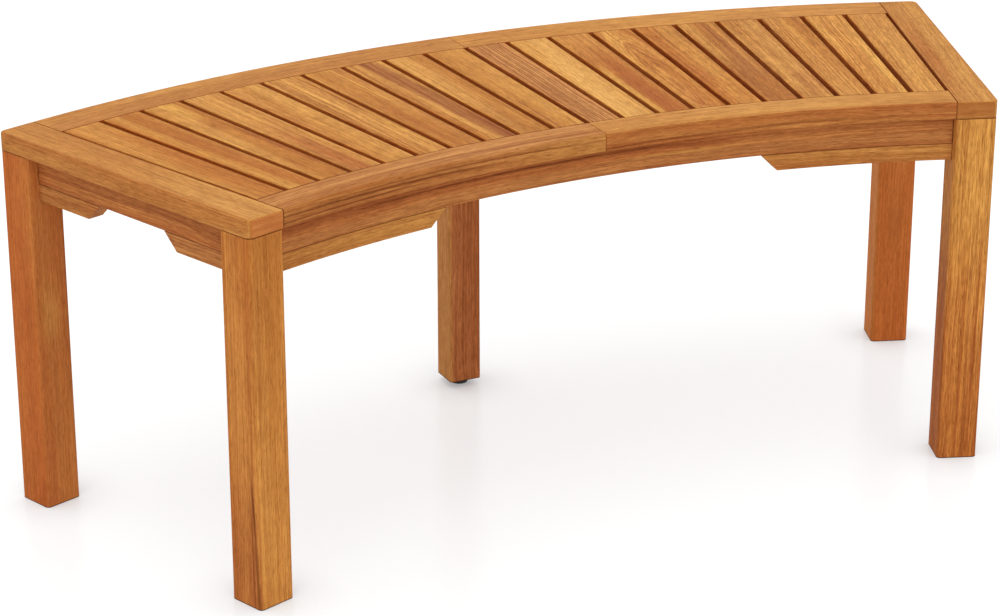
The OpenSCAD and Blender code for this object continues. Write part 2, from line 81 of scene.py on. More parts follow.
# Legs: their widths, their front faces' places along the radius, and the middle leg's lower end
LEG_W = 0.048
FRONT_LEG_Y = 1.2142
BACK_LEG_Y = 1.586
MID_LEG_W = 0.0425
MID_LEG_Y = 1.586
MID_LEG_Z = 0.009

# Where the boards' grain is measured from
RAIL_Z = middle(UNDER_Z, SEAT_H)
APRON_MID_Z = middle(APRON_Z, UNDER_Z)
BRACE_MID_Z = middle(BRACE_Z, APRON_Z)
LEDGER_MID_Z = 0.42
SLAT_MID = (middle(*SLAT_R), 0.0, 0.44)
STRETCHER_MID = (1.41, 0.0, 0.41)
END_Y = middle(FRONT_R, BACK_R)
END_APRON_MID = END_APRON_X + MEMBER_T / 2
END_BRACE_Y = {"front": 1.31, "back": 1.53}
LEG_MID_Z = 0.21

# Half widths of the dark lines at joints, at the aprons' ends and at the legs' feet. The lines
# are dark joints and also painted shade, of the joints' narrow grooves and under overhangs; at
# the legs' feet they are painted contact shade.
HAIR = 0.0009
APRON_END_LINE = 1.5 * HAIR
FOOT_SHADE_LINE = 1.6 * HAIR
# The lines' colour, for the dark joints and the painted shade alike
SEAM_AND_SHADE_COLOUR = (66, 28, 10)

# How squarely a face has to point along the grain to show some end grain, and to show it all
STRAIGHT_END = (0.75, 0.95)
ARC_END = (0.6, 0.8)

# What each group of boards adds to its seeds, so that no two boards share a pattern
SLAT_SEED, ARC_SEED, LEG_SEED = 1.37, 31.3, 101.9
ARC_SEED_STEP, LEG_SEED_STEP = 2.3, 3.7
END_SEEDS = {"left": 61.7, "right": 83.1}
END_APRON_SEED_STEP = 1.9
END_BRACE_SEED_STEP = {"front": 3.3, "back": 5.9}
MIDDLE_LEG_SEED, STRETCHER_SEED, DOWEL_SEED = 121.3, 133.7, 141.1
# How far a board's seed moves it through the noise, along each axis
SEED_SHIFT = (3.17, 5.71, 1.93)

# The colour mixer's sockets for its two colours and its result
MIX_A, MIX_B, MIX_RESULT = 6, 7, 2


def srgb(r, g, b):
    """A colour as it looks on the screen, from 0 to 255, as the shader's own colour."""
    def linear(c):
        c /= 255
        return c / 12.92 if c <= 0.04045 else ((c + 0.055) / 1.055) ** 2.4
    return (linear(r), linear(g), linear(b), 1.0)


class Graph:
    """A node tree in which a formula can be written as one."""

    def __init__(self, tree):
        self.tree = tree

    def node(self, kind, inputs=None, **settings):
        made = self.tree.nodes.new(kind)
        for name, value in settings.items():
            setattr(made, name, value)
        for name, value in (inputs or {}).items():
            self.feed(made.inputs[name], value)
        return made

    def feed(self, socket, value):
        if isinstance(value, bpy.types.NodeSocket):
            self.tree.links.new(value, socket)
        else:
            socket.default_value = value

    def group(self, tree, inputs):
        return self.node("ShaderNodeGroup", inputs, node_tree=tree).outputs

    def math(self, operation, *values):
        made = self.node("ShaderNodeMath", operation=operation)
        for i, value in enumerate(values):
            self.feed(made.inputs[i], value)
        return made.outputs[0]

    def add(self, a, b):
        return self.math("ADD", a, b)

    def sub(self, a, b):
        return self.math("SUBTRACT", a, b)

    def mul(self, a, b):
        return self.math("MULTIPLY", a, b)

    def abs(self, a):
        return self.math("ABSOLUTE", a)

    def length(self, a, b):
        return self.math("SQRT", self.add(self.mul(a, a), self.mul(b, b)))

    def vec(self, x, y, z):
        return self.node("ShaderNodeCombineXYZ", {"X": x, "Y": y, "Z": z}).outputs[0]

    def split(self, vector):
        return self.node("ShaderNodeSeparateXYZ", {"Vector": vector}).outputs[:]

    def noise(self, vector, detail=2.0, roughness=0.5, distortion=0.0):
        return self.node("ShaderNodeTexNoise", {
            "Vector": vector, "Scale": 1.0, "Detail": detail, "Roughness": roughness,
            "Distortion": distortion}, noise_dimensions="3D").outputs[0]

    def grained(self, seed, along_scale, cross_scale, x, y, z, **kind):
        """Noise that is stretched along the grain, with a start of its own for every board.

        The scales are its waves per metre along the grain and across it.
        """
        placed = self.vec(self.mul(x, along_scale), self.mul(y, cross_scale),
                          self.mul(z, cross_scale))
        shift = self.vec(*(self.mul(seed, k) for k in SEED_SHIFT))
        moved = self.node("ShaderNodeVectorMath", {0: placed, 1: shift}, operation="ADD")
        return self.noise(moved.outputs[0], **kind)

    def step(self, value, low, high):
        """0 below low, 1 above high and smooth between; low may be the higher one."""
        return self.node("ShaderNodeMapRange", {
            "Value": value, "From Min": low, "From Max": high, "To Min": 0.0, "To Max": 1.0},
            interpolation_type="SMOOTHSTEP").outputs[0]

    def mix(self, factor, a, b, blend="MIX"):
        made = self.node("ShaderNodeMix", data_type="RGBA", blend_type=blend)
        self.feed(made.inputs["Factor"], factor)
        self.feed(made.inputs[MIX_A], a)
        self.feed(made.inputs[MIX_B], b)
        return made.outputs[MIX_RESULT]

    def line(self, value, place, half_width):
        """1 where value is at place, falling to 0 at half_width from it."""
        return self.step(self.abs(self.sub(value, place)), half_width, 0.35 * half_width)


def empty_graph(owner):
    """The node tree of a material or a world, with nothing in it."""
    owner.use_nodes = True
    owner.node_tree.nodes.clear()
    return Graph(owner.node_tree)


def group_tree(name, inputs, outputs):
    """A new group, with its given values and its results."""
    tree = bpy.data.node_groups.new(name, "ShaderNodeTree")
    for way, sockets in (("INPUT", inputs), ("OUTPUT", outputs)):
        for socket_name, kind in sockets.items():
            tree.interface.new_socket(socket_name, in_out=way, socket_type="NodeSocket" + kind)
    given = tree.nodes.new("NodeGroupInput").outputs
    return Graph(tree), given, tree.nodes.new("NodeGroupOutput").inputs


def make_growth():
    """The wood's colour by its growth. Grain is the place along, across and through the board."""
    g, given, out = group_tree(
        "growth",
        {"Grain": "Vector", "Seed": "Float", "Light": "Color", "Mid": "Color", "Dark": "Color",
         "Pith": "Vector", "Slope": "Float", "Lean": "Float", "Bands": "Float",
         "Lines": "Float"},
        {"Color": "Color", "Bent": "Vector", "Rings": "Float", "Fine rings": "Float"})
    seed = given["Seed"]
    along, across, through = g.split(given["Grain"])
    # The fibres wander a little from the board's own direction
    wander = g.sub(g.grained(seed, 2.6, 7.0, along, across, through), 0.5)
    ripple = g.sub(g.grained(seed, 15.0, 26.0, along, across, through, detail=1.0), 0.5)
    shift = g.add(g.mul(wander, 0.020), g.mul(ripple, 0.0018))
    y = g.add(across, shift)
    z = g.add(through, g.mul(shift, 0.6))
    g.feed(out["Bent"], g.vec(along, y, z))

    # Growth rings about the pith, which lies beside or below the board
    pith_x, pith_y, pith_z = g.split(given["Pith"])
    ring_y = g.sub(g.sub(y, pith_y), g.mul(along, given["Lean"]))
    ring_z = g.sub(g.sub(z, pith_z), g.mul(g.sub(along, pith_x), given["Slope"]))
    radius = g.length(ring_y, ring_z)
    rings = g.grained(seed, 1.5, 190.0, along, radius, g.mul(radius, 0.3),
                      detail=3.0, roughness=0.62)
    fine = g.grained(seed, 2.6, 560.0, along, radius, g.mul(radius, 0.2), roughness=0.6)
    cloud = g.grained(seed, 2.4, 30.0, along, y, z, detail=1.5)
    tint = g.grained(seed, 1.3, 10.0, along, y, z, detail=1.0)

    colour = g.mix(g.step(cloud, 0.38, 0.62), given["Light"], given["Mid"])
    warm = g.mix(g.mul(g.step(tint, 0.44, 0.66), 0.55), colour, given["Dark"])
    banded = g.mix(g.mul(g.step(rings, 0.42, 0.62), given["Bands"]), warm, given["Dark"])
    lined = g.mix(g.mul(g.step(fine, 0.45, 0.63), given["Lines"]), banded, given["Dark"])
    g.feed(out["Color"], lined)
    g.feed(out["Rings"], rings)
    g.feed(out["Fine rings"], fine)
    return g.tree


def make_streak():
    """Where a streak of other wood lies: across at Place, from Start to Stop along the board."""
    g, given, out = group_tree(
        "streak",
        {"Along": "Float", "Aside": "Float", "Rings": "Float", "Place": "Float", "Drift": "Float",
         "Half width": "Float", "Start": "Float", "Stop": "Float", "Fade": "Float",
         "Strength": "Float"},
        {"Mask": "Float"})
    centre = g.add(given["Place"], g.mul(given["Along"], given["Drift"]))
    ragged = g.mul(g.sub(given["Rings"], 0.5), 0.9)
    away = g.math("DIVIDE", g.abs(g.sub(given["Aside"], centre)), given["Half width"])
    inside = g.step(g.add(away, ragged), 1.3, 0.5)

    def reached(value, place):
        return g.step(g.math("DIVIDE", g.sub(value, place), given["Fade"]), -0.5, 0.5)
    run = g.mul(reached(given["Along"], given["Start"]), reached(given["Stop"], given["Along"]))
    patchy = g.add(0.7, g.mul(g.step(given["Rings"], 0.4, 0.6), 0.3))
    g.feed(out["Mask"], g.mul(g.mul(inside, run), g.mul(patchy, given["Strength"])))
    return g.tree


def make_finish():
    """Single fibres, pores, end grain and joint lines over the wood's colour."""
    g, given, out = group_tree(
        "finish",
        {"Color": "Color", "Bent": "Vector", "Seed": "Float", "Fine rings": "Float",
         "Mottle": "Float", "Fibre": "Float", "End color": "Color", "End grain": "Float",
         "Seam": "Float"},
        {"Color": "Color", "Roughness": "Float", "Height": "Float"})
    seed = given["Seed"]
    along, y, z = g.split(given["Bent"])
    long_fibre = g.grained(seed, 4.0, 360.0, along, y, z, roughness=0.6)
    short_fibre = g.grained(seed, 60.0, 800.0, along, y, z, roughness=0.6)
    pore = g.grained(seed, 110.0, 1100.0, along, y, z, detail=1.0)
    mottle = g.grained(seed, 30.0, 44.0, along, y, z, distortion=0.7)
    open_pore = g.step(pore, 0.57, 0.67)

    fibre = g.add(g.mul(g.sub(long_fibre, 0.5), 0.7), g.mul(g.sub(short_fibre, 0.5), 0.9))
    shade = g.add(1.0, g.mul(fibre, given["Fibre"]))
    shade = g.mul(shade, g.add(1.0, g.mul(g.sub(mottle, 0.5), given["Mottle"])))
    shade = g.mul(shade, g.sub(1.0, g.mul(open_pore, 0.2)))
    # Dark fibres are redder than light ones
    tinted = g.vec(shade, g.math("POWER", shade, 1.3), g.math("POWER", shade, 1.5))
    shaded = g.mix(1.0, given["Color"], tinted, blend="MULTIPLY")
    ended = g.mix(g.mul(given["End grain"], 0.5), shaded, given["End color"])
    # Seam lines: dark joints, and painted shade of the joints' grooves and under overhangs
    g.feed(out["Color"], g.mix(g.mul(given["Seam"], 0.85), ended, srgb(*SEAM_AND_SHADE_COLOUR)))

    rough = g.add(0.58, g.mul(fibre, 0.12))
    rough = g.add(rough, g.mul(open_pore, 0.12))
    rough = g.add(rough, g.mul(g.add(given["End grain"], given["Seam"]), 0.12))
    g.feed(out["Roughness"], rough)
    height = g.sub(g.mul(fibre, 0.6), g.mul(open_pore, 0.6))
    g.feed(out["Height"], g.add(height, g.mul(given["Fine rings"], 0.35)))
    return g.tree


GROWTH, STREAK, FINISH = make_growth(), make_streak(), make_finish()

# Each tone of wood is its light, middle and dark colour
TONES = {
    "pale": ((232, 173, 95), (218, 155, 77), (200, 132, 60)),
    "honey": ((224, 162, 82), (208, 139, 66), (174, 96, 38)),
    "tan": ((222, 160, 83), (205, 140, 66), (174, 101, 44)),
    "brown": ((214, 150, 86), (191, 125, 64), (158, 88, 42)),
    "lined": ((224, 160, 92), (210, 144, 80), (160, 92, 46)),
    "rose": ((224, 148, 90), (208, 131, 76), (170, 95, 52)),
    "russet": ((206, 134, 72), (188, 112, 58), (150, 78, 40)),
    "amber": ((222, 150, 74), (208, 132, 60), (172, 92, 38)),
    "ember": ((206, 124, 60), (195, 108, 50), (174, 86, 38)),
    "coral": ((220, 132, 62), (211, 117, 53), (192, 96, 42)),
}
# The colours of streaks and of tinted faces
STREAKS = {
    "red": (172, 92, 46),
    "heart": (150, 80, 42),
    "brown": (158, 94, 48),
    "gold": (230, 172, 86),
    "tan": (206, 146, 84),
    # Painted shade, darker and redder, for faces seen only in the gaps between boards
    "deep": (158, 62, 10),
    "dark": (128, 68, 30),
}
# In millimetres, past every board's ends
FAR = 1000.0


def streak(colour, strength, place, half_width, start=-FAR, stop=FAR, fade=60.0, drift=0.0,
           axis="across"):
    """A streak, in millimetres in the board's own directions, from the board's middle."""
    return dict(colour=colour, strength=strength, axis=axis, drift=drift, place=place * MM,
                half_width=half_width * MM, start=start * MM, stop=stop * MM, fade=fade * MM)


# Some face tints are the wood's own colour; on the legs most are painted light and painted shade
# of a single face
def face_tint(colour, strength, place, half_width=3.0, axis="across", **run):
    """A tint of the one face that lies at place. It doesn't wander with the fibres."""
    return streak(colour, strength, place, half_width, axis=axis + " face", **run)


def stands(g, normal):
    """1 on upright faces, 0 on level ones."""
    return g.step(g.abs(normal[2]), 0.8, 0.3)


def lies(g, normal):
    """1 on level faces, 0 on upright ones."""
    return g.step(g.abs(normal[2]), 0.3, 0.8)


def wood_material(name, build, seed, tone="tan", bands=0.3, lines=0.3, mottle=0.3, fibre=1.0,
                  pith=(0.0, 0.10, -0.10), slope=0.0, lean=0.02, painted_side_shade=0.0, end_colour=None,
                  streaks=()):
    """A board's material. build finds the place in the board, its end grain and its seams.

    Strengths, from 0 to 1: bands and lines for the wide and the fine growth rings, sides for the
    painted shade, darker and redder, of upright faces that show only in gaps. mottle and fibre are
    how uneven the wood's shade is. pith is the heart of the rings, in metres from the board's
    middle, and slope and lean are how the rings run off the board's direction. Without an
    end_colour the ends have the tone's dark one.
    """
    material = bpy.data.materials.new(name)
    g = empty_graph(material)
    coords = g.node("ShaderNodeTexCoord").outputs
    normal = g.split(coords["Normal"])
    grain, end, seam = build(g, coords["Object"], normal)
    light, mid, dark = (srgb(*colour) for colour in TONES[tone])
    growth = g.group(GROWTH, {
        "Grain": grain, "Seed": seed, "Light": light, "Mid": mid, "Dark": dark, "Pith": pith,
        "Slope": slope, "Lean": lean, "Bands": bands, "Lines": lines})
    along, across, through = g.split(growth["Bent"])
    aside = {"across": across, "through": through}
    aside["across face"], aside["through face"] = g.split(grain)[1:]
    colour = growth["Color"]
    for s in streaks:
        mask = g.group(STREAK, {
            "Along": along, "Aside": aside[s["axis"]],
            "Rings": growth["Rings"], "Place": s["place"], "Drift": s["drift"],
            "Half width": s["half_width"], "Start": s["start"], "Stop": s["stop"],
            "Fade": s["fade"], "Strength": s["strength"]})["Mask"]
        colour = g.mix(mask, colour, srgb(*STREAKS[s["colour"]]))
    # Painted shade, darker and redder, on the upright faces
    if painted_side_shade:
        colour = g.mix(g.mul(stands(g, normal), painted_side_shade), colour, srgb(*STREAKS["deep"]))
    finish = g.group(FINISH, {
        "Color": colour, "Bent": growth["Bent"], "Seed": seed, "Fine rings": growth["Fine rings"],
        "Mottle": mottle, "Fibre": fibre, "End color": srgb(*end_colour) if end_colour else dark,
        "End grain": end, "Seam": seam})
    bump = g.node("ShaderNodeBump", {
        "Strength": 0.35, "Distance": 0.4 * MM, "Height": finish["Height"]})
    shader = g.node("ShaderNodeBsdfPrincipled", {
        "Base Color": finish["Color"], "Roughness": finish["Roughness"],
        "Specular IOR Level": 0.05, "Normal": bump.outputs[0]})
    g.node("ShaderNodeOutputMaterial", {"Surface": shader.outputs[0]})
    return material


def seam_of(g, lines, named, normal):
    """The darkest of several joint lines: a direction's name, a place, a half width, a strength.

    A line shows only on the faces that it crosses, not on those that lie in it. The lines are
    dark joints, and painted shade of the joints' grooves and under overhangs.
    """
    level = lies(g, normal)
    crossed = {"z": stands(g, normal), "distance": level, "across": level}
    dark = 0.0
    for name, place, half_width, strength in lines:
        line = g.mul(g.line(named[name], place, half_width), strength)
        dark = g.math("MAXIMUM", dark, g.mul(line, crossed.get(name, 1.0)))
    return dark


def turned(g, place, bearing, side):
    """The place seen from the arc's centre: outward along the bench, along the radius, and up."""
    x, y, z = g.split(place)
    y = g.add(y, CENTRE_Y)
    c, s = math.cos(bearing), math.sin(bearing)
    across = g.sub(g.mul(x, c * side), g.mul(y, s * side))
    radial = g.add(g.mul(x, s), g.mul(y, c))
    return across, radial, z


def radial_board(bearing, side, centre, seams=(), wrapped=False):
    """A straight board whose grain runs along the radius, such as a slat or an end board.

    A wrapped board's grain turns with its ends, as on a board whose ends are capped.
    """
    def build(g, place, normal):
        across, radial, z = turned(g, place, bearing, side)
        distance = g.length(across, radial)
        grain = g.vec(g.sub(radial, centre[0]), g.sub(across, centre[1]), g.sub(z, centre[2]))
        facing = g.add(g.mul(normal[0], math.sin(bearing)), g.mul(normal[1], math.cos(bearing)))
        end = g.step(g.abs(facing), *STRAIGHT_END)
        if wrapped:
            turned_grain = g.vec(across, radial, g.sub(z, centre[2]))
            grain, end = g.mix(end, grain, turned_grain), g.mul(end, 1.2)
        return grain, end, seam_of(g, seams, {
            "across": across, "radial": radial, "z": z, "distance": distance}, normal)
    return build


def arc_board(centre, seams=()):
    """A board whose grain follows the arc, such as a rail, an apron or a curved brace."""
    def build(g, place, normal):
        x, y, z = g.split(place)
        y = g.add(y, CENTRE_Y)
        distance = g.length(x, y)
        bearing = g.math("ARCTAN2", x, y)
        arc = g.mul(bearing, centre[1])
        grain = g.vec(g.sub(arc, centre[0]), g.sub(distance, centre[1]), g.sub(z, centre[2]))
        facing = g.sub(g.mul(normal[0], g.math("COSINE", bearing)),
                       g.mul(normal[1], g.math("SINE", bearing)))
        end = g.step(g.abs(facing), *ARC_END)
        from_joint = g.mul(g.sub(g.abs(bearing), HALF), distance)
        return grain, end, seam_of(g, seams, {
            "distance": distance, "z": z, "x": x, "joint": from_joint}, normal)
    return build


def upright(bearing, side, centre, seams=()):
    """A leg, whose grain runs up."""
    def build(g, place, normal):
        across, radial, z = turned(g, place, bearing, side)
        grain = g.vec(g.sub(z, centre[0]), g.sub(across, centre[1]), g.sub(radial, centre[2]))
        end = g.step(g.abs(normal[2]), *STRAIGHT_END)
        return grain, end, seam_of(g, seams, {"z": z}, normal)
    return build


def dress(name, material):
    for slot in nodes[name].material_slots:
        slot.material = material


def dress_wood(name, build, seed, look):
    dress(name, wood_material(name, build, seed, **look))


# Slats, from left to right. Along a slat, the front is at -162.5 and the back at 162.5. Across
# runs to the right.
SLAT_LOOKS = [
    dict(tone="honey", bands=0.12, lines=0.20, streaks=[
        streak("red", 0.25, 17, 4, 0, 70)]),
    dict(tone="honey", bands=0.10, lines=0.22, streaks=[
        streak("red", 0.25, 4, 9, -20, 90, 90), streak("red", 0.15, 12, 7, -FAR, -20, 80),
        streak("gold", 0.3, -10, 9)]),
    dict(tone="tan", bands=0.15, lines=0.18, mottle=0.6, streaks=[
        streak("red", 0.5, 17.5, 4, -115, 30, 40), streak("gold", 0.55, 3, 12, 95, FAR, 50),
        streak("gold", 0.3, -9, 7, -60, 10, 40)]),
    dict(tone="tan", bands=0.38, lines=0.30, streaks=[
        streak("red", 0.8, -6, 13, -FAR, 0, 150), streak("heart", 0.5, -17, 2.5, -FAR, -60, 60)]),
    dict(tone="tan", bands=0.15, lines=0.20, mottle=0.6, streaks=[
        streak("red", 0.3, -19, 5)]),
    dict(tone="tan", bands=0.46, lines=0.80, fibre=1.3, pith=(0.0, 0.3, -0.05), streaks=[
        streak("gold", 0.55, 10, 3, -130, 0)]),
    dict(tone="tan", bands=0.24, lines=0.26, streaks=[
        streak("red", 0.45, -6, 7, -110, 20, 90), streak("gold", 0.6, 10, 1.8, -20, FAR),
        streak("red", 0.3, 20, 4, 60, FAR)]),
    dict(tone="tan", bands=0.46, lines=0.40, streaks=[
        streak("heart", 0.95, 5.5, 12, drift=-0.026)]),
    dict(tone="tan", bands=0.28, lines=0.24, mottle=0.45, streaks=[
        streak("brown", 0.35, -7, 9, -FAR, -50), streak("gold", 0.3, 12, 3, -140, -60)]),
    dict(tone="tan", bands=0.20, lines=0.18, mottle=0.4, streaks=[
        streak("heart", 0.65, -12, 1.6, -FAR, -50, 40), streak("gold", 0.25, 8, 8, -140, 20, 80)]),
    dict(tone="lined", bands=0.15, lines=0.35, fibre=1.2, pith=(0.0, 0.3, -0.02), streaks=[
        streak("red", 0.45, 16, 6),
        *(streak("dark", 0.9, place, 0.65, drift=0.015)
          for place in (-15, -9.5, -6.5, -1.5, 1.5, 6, 9, 14))]),
    dict(tone="pale", bands=0.18, lines=0.14, mottle=0.35),
    dict(tone="honey", bands=0.30, lines=0.34, streaks=[
        streak("red", 0.58, 5, 14, -FAR, 40, 160), streak("red", 0.3, 0, 22, 40, FAR, 90),
        streak("gold", 0.75, -15, 5, -FAR, 15), streak("heart", 0.5, -8, 1.5, -100, -40, 20)]),
    dict(tone="honey", bands=0.60, lines=0.36, fibre=1.3, pith=(0.15, -0.004, -0.012),
         slope=-0.10, streaks=[
             streak("red", 0.55, -5, 11, -FAR, -60, 70),
             streak("heart", 0.7, 11, 1.4, 0, 92, 16, -0.16),
             streak("heart", 0.45, -14, 1.2, 10, 95, 20, 0.10)]),
    dict(tone="honey", bands=0.24, lines=0.30, mottle=0.5, fibre=1.3, streaks=[
        streak("red", 0.45, -8, 8, -80, -15, 40), streak("brown", 0.35, 0, 1.5, -60, FAR),
        streak("gold", 0.35, 9, 8, -60, FAR)]),
    dict(tone="tan", bands=0.40, lines=0.40, fibre=1.3, streaks=[
        streak("brown", 0.45, 0, 60, -FAR, 60, 160),
        streak("heart", 0.6, 7, 5, -60, FAR, 80, 0.01), streak("gold", 0.4, -13, 7, 0, FAR, 90),
        streak("heart", 0.55, 6, 2.5, -92, -62, 16)]),
    dict(tone="tan", bands=0.26, lines=0.26, mottle=0.6, fibre=1.3, streaks=[
        streak("gold", 0.3, -5, 8, -55, -15, 30), streak("gold", 0.25, 2, 9, 100, FAR, 40),
        streak("red", 0.4, 8, 14, -140, -60, 60), streak("brown", 0.3, 0, 40)]),
    dict(tone="tan", bands=0.34, lines=0.60, fibre=1.5, pith=(0.0, 0.3, -0.05), streaks=[
        streak("brown", 0.3, -10, 10, -140, -20, 90),
        streak("brown", 0.4, -10, 1.5, 90, FAR, 30)]),
    dict(tone="honey", bands=0.34, lines=0.64, fibre=1.5, pith=(0.0, 0.3, -0.05), streaks=[
        streak("gold", 0.65, 12, 3.5, -FAR, 0)]),
    dict(tone="tan", bands=0.28, lines=0.34, mottle=0.4, fibre=1.3, streaks=[
        streak("gold", 0.3, 0, 10, -FAR, 60, 120)]),
]
slat_seams = [("distance", SLAT_R[0], HAIR, 1.0), ("distance", SLAT_R[1], HAIR, 0.7)]
# The slats' upright sides show only in the gaps, and get painted shade, darker and redder
for i, look in enumerate(SLAT_LOOKS):
    bearing = (i + 0.5) * PITCH - HALF
    dress_wood("slat_%02d" % (i + 1), radial_board(bearing, 1, SLAT_MID, slat_seams),
               SLAT_SEED + i, dict(look, painted_side_shade=0.7))

# Rails, aprons, ledgers and braces, whose grain follows the arc. For each: its radius, its height
# and its seams. Across runs towards the back and through runs up, both from the board's middle.
front_rail_seams = [("distance", SLAT_R[0], HAIR, 1.0), ("x", 0.0, 0.6 * HAIR, 0.22),
                    ("joint", 0.0, HAIR, 1.0)]
back_rail_seams = [("distance", SLAT_R[1], HAIR, 0.7), ("joint", 0.0, HAIR, 0.8)]
# The line at an apron's top is painted shadow under its rail
apron_seams = [("joint", 0.0, APRON_END_LINE, 1.0), ("z", UNDER_Z, HAIR, 1.0)]
brace_seams = [("joint", 0.0, HAIR, 1.0), ("z", APRON_Z, HAIR, 1.0)]
front_rail_at = (middle(FRONT_R, SLAT_R[0]), RAIL_Z, front_rail_seams)
back_rail_at = (middle(SLAT_R[1], BACK_R), RAIL_Z, back_rail_seams)
front_apron_at = (middle(*FRONT_APRON_R), APRON_MID_Z, apron_seams)
back_apron_at = (middle(*BACK_APRON_R), APRON_MID_Z, apron_seams)
front_brace_at = (middle(*FRONT_APRON_R), BRACE_MID_Z, brace_seams)
back_brace_at = (middle(*BACK_APRON_R), BRACE_MID_Z, brace_seams)
front_ledger_at = (FRONT_LEDGER_R, LEDGER_MID_Z, ())
back_ledger_at = (BACK_LEDGER_R, LEDGER_MID_Z, ())
# The front rail's concave face, and the back rail's inner face, which shows in the slats' gaps
# and gets painted shade there, darker and redder
RAIL_FACE = (FRONT_R - SLAT_R[0]) / 2 / MM
RAIL_SHADE_IN_GAPS = face_tint("deep", 0.9, (SLAT_R[1] - BACK_R) / 2 / MM, 0.8)
# The ledgers show mostly through the gaps between slats, and get painted shade, darker and redder
LEDGER_LOOK = dict(tone="brown", streaks=[streak("deep", 0.6, 0, 90)])
# Name, place, side (-1 left, 0 middle, 1 right) and look
ARCS = [
    ("front_rail_left", front_rail_at, -1, dict(
        tone="brown", bands=0.34, lines=0.42, pith=(0.0, 0.06, -0.05), streaks=[
            streak("brown", 0.6, -6, 2.5, -60, 220, 90, -0.01),
            streak("heart", 0.4, -12, 1.5, 0, 190),
            face_tint("red", 0.25, RAIL_FACE, 1),
            face_tint("gold", 0.3, RAIL_FACE, 1, start=130, fade=120),
            streak("dark", 0.95, -1, 1.5, -FAR, 60, 90, -0.01, "through"),
            streak("dark", 0.9, -6, 1.1, -FAR, -40, axis="through"),
            streak("dark", 0.6, 4, 0.9, -120, FAR, 90, axis="through")])),
    ("front_rail_right", front_rail_at, 1, dict(
        tone="tan", bands=0.22, lines=0.24, mottle=0.4, streaks=[
            streak("tan", 0.25, 4, 60), face_tint("red", 0.85, RAIL_FACE, 1),
            streak("red", 0.5, 3, 4, axis="through"), streak("red", 0.3, 12, 5, -190, -60),
            streak("dark", 0.7, -4, 1.6, -FAR, 90, 90, 0.02, "through")])),
    ("back_rail_left", back_rail_at, -1, dict(
        tone="tan", bands=0.34, lines=0.34, streaks=[
            streak("red", 0.2, 0, 40, -FAR, -110, 120), streak("tan", 0.4, 4, 40),
            RAIL_SHADE_IN_GAPS])),
    ("back_rail_right", back_rail_at, 1, dict(
        tone="tan", bands=0.30, lines=0.34, mottle=0.4, streaks=[
            streak("tan", 0.25, 4, 60), streak("red", 0.2, 0, 40, 60, FAR, 160),
            RAIL_SHADE_IN_GAPS])),
    ("front_apron", front_apron_at, 0, dict(
        tone="russet", bands=0.38, lines=0.38, pith=(0.05, 0.03, 0.06), lean=0.01, streaks=[
            streak("tan", 0.35, -9, 7, axis="through"),
            # Just under the rail's edge, from the apron's left part to past its middle: a dark
            # line that is painted shadow of the front rail
            streak("dark", 0.8, 8, 1.6, -300, 90, axis="through"),
            streak("gold", 0.4, -4, 1.8, 40, 180, axis="through", drift=0.02)])),
    ("back_apron_left", back_apron_at, -1, dict(tone="russet", bands=0.45, lines=0.40)),
    ("back_apron_right", back_apron_at, 1, dict(tone="russet", bands=0.40, lines=0.36)),
    ("front_ledger", front_ledger_at, 0, LEDGER_LOOK),
    ("back_ledger", back_ledger_at, 0, LEDGER_LOOK),
    ("front_brace_left", front_brace_at, -1, dict(tone="tan", bands=0.45, lines=0.5, streaks=[
        streak("tan", 0.3, 0, 60)])),
    ("front_brace_right", front_brace_at, 1, dict(tone="tan", bands=0.50, lines=0.5, streaks=[
        streak("red", 0.5, 0, 40)])),
    ("back_brace_left", back_brace_at, -1, dict(tone="brown", bands=0.30, lines=0.40)),
    ("back_brace_right", back_brace_at, 1, dict(tone="brown", bands=0.30, lines=0.40)),
]
for i, (name, (r, z, seams), side, look) in enumerate(ARCS):
    # A half board's middle lies at a quarter of the whole arc
    arc_middle = side * HALF / 2 * r
    dress_wood(name, arc_board((arc_middle, r, z), seams), ARC_SEED + ARC_SEED_STEP * i, look)

# End boards, end aprons and their braces. Across runs outward from the board's middle.
END_FACE = END_W / 2 / MM
END_LOOKS = {
    "left": dict(tone="tan", end_colour=(198, 106, 58), bands=0.28, lines=0.34, streaks=[
        streak("tan", 0.3, 0, 60), face_tint("red", 0.45, END_FACE, 2)]),
    "right": dict(tone="tan", end_colour=(152, 70, 30), bands=0.28, lines=0.36, streaks=[
        streak("gold", 0.35, 9, 3, -120, 190, drift=0.02), streak("brown", 0.25, 0, 40),
        streak("red", 0.35, -14, 6, -120, 60, 90)]),
}
END_APRON_LOOK = dict(tone="russet", bands=0.56, lines=0.50, pith=(0.03, 0.05, 0.02))
END_BRACE_LOOK = dict(tone="brown", bands=0.34, lines=0.46, streaks=[streak("red", 0.25, 0, 40)])
end_board_seams = [("across", 0.0, HAIR, 1.0), ("z", UNDER_Z, HAIR, 1.0)]
end_apron_seams = [("radial", FRONT_LEG_Y + LEG_W, APRON_END_LINE, 1.0),
                   ("radial", BACK_LEG_Y, APRON_END_LINE, 1.0)]
end_brace_seams = [("z", APRON_Z, HAIR, 1.0)]
